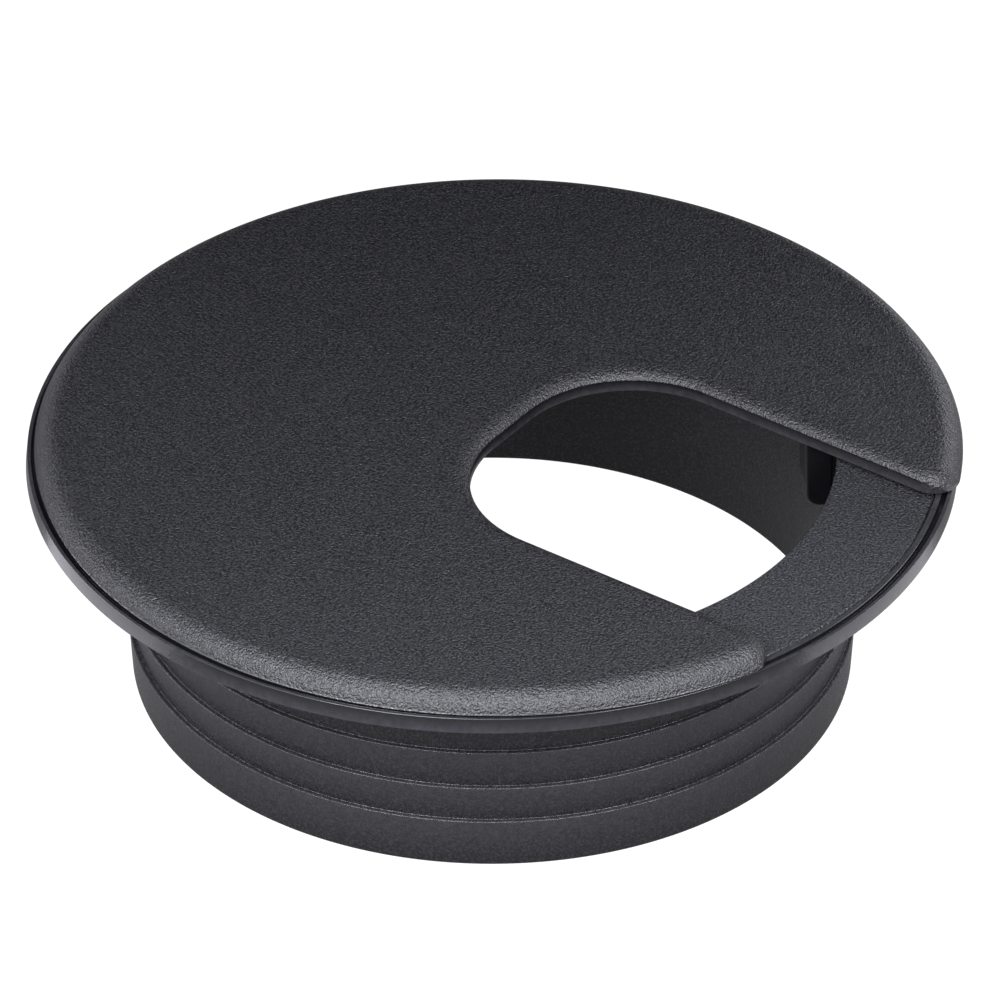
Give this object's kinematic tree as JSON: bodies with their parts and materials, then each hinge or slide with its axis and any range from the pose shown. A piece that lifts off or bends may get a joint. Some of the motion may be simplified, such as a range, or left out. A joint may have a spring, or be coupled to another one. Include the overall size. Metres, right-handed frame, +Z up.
{
  "type": "desk grommet",
  "caption": "Round cable grommet for a desk top: a flanged, barbed sleeve and a turning cap with a rounded cable notch open at its rim.",
  "frame": {"origin": "on the axis of the desk hole, at the sleeve's lower rim", "axes": "+Z up out of the desk along the hole's axis, +X from the axis towards the cap notch's mouth"},
  "size_m": [0.075, 0.075, 0.0221],
  "materials": {
    "liner_plastic": "black moulded plastic, smooth satin sleeve and flange wall, finely grained seat",
    "cap_plastic": "black moulded plastic with a fine even spark-eroded grain"
  },
  "bodies": {
    "liner": {"liner": "liner_plastic"},
    "cap": {"cap": "cap_plastic"}
  },
  "joints": [
    {"name": "cap_turn", "type": "hinge", "parent": "liner", "child": "cap", "pos_m": [0, 0, 0.0206], "axis": [0, 0, 1], "continuous": true}
  ]
}
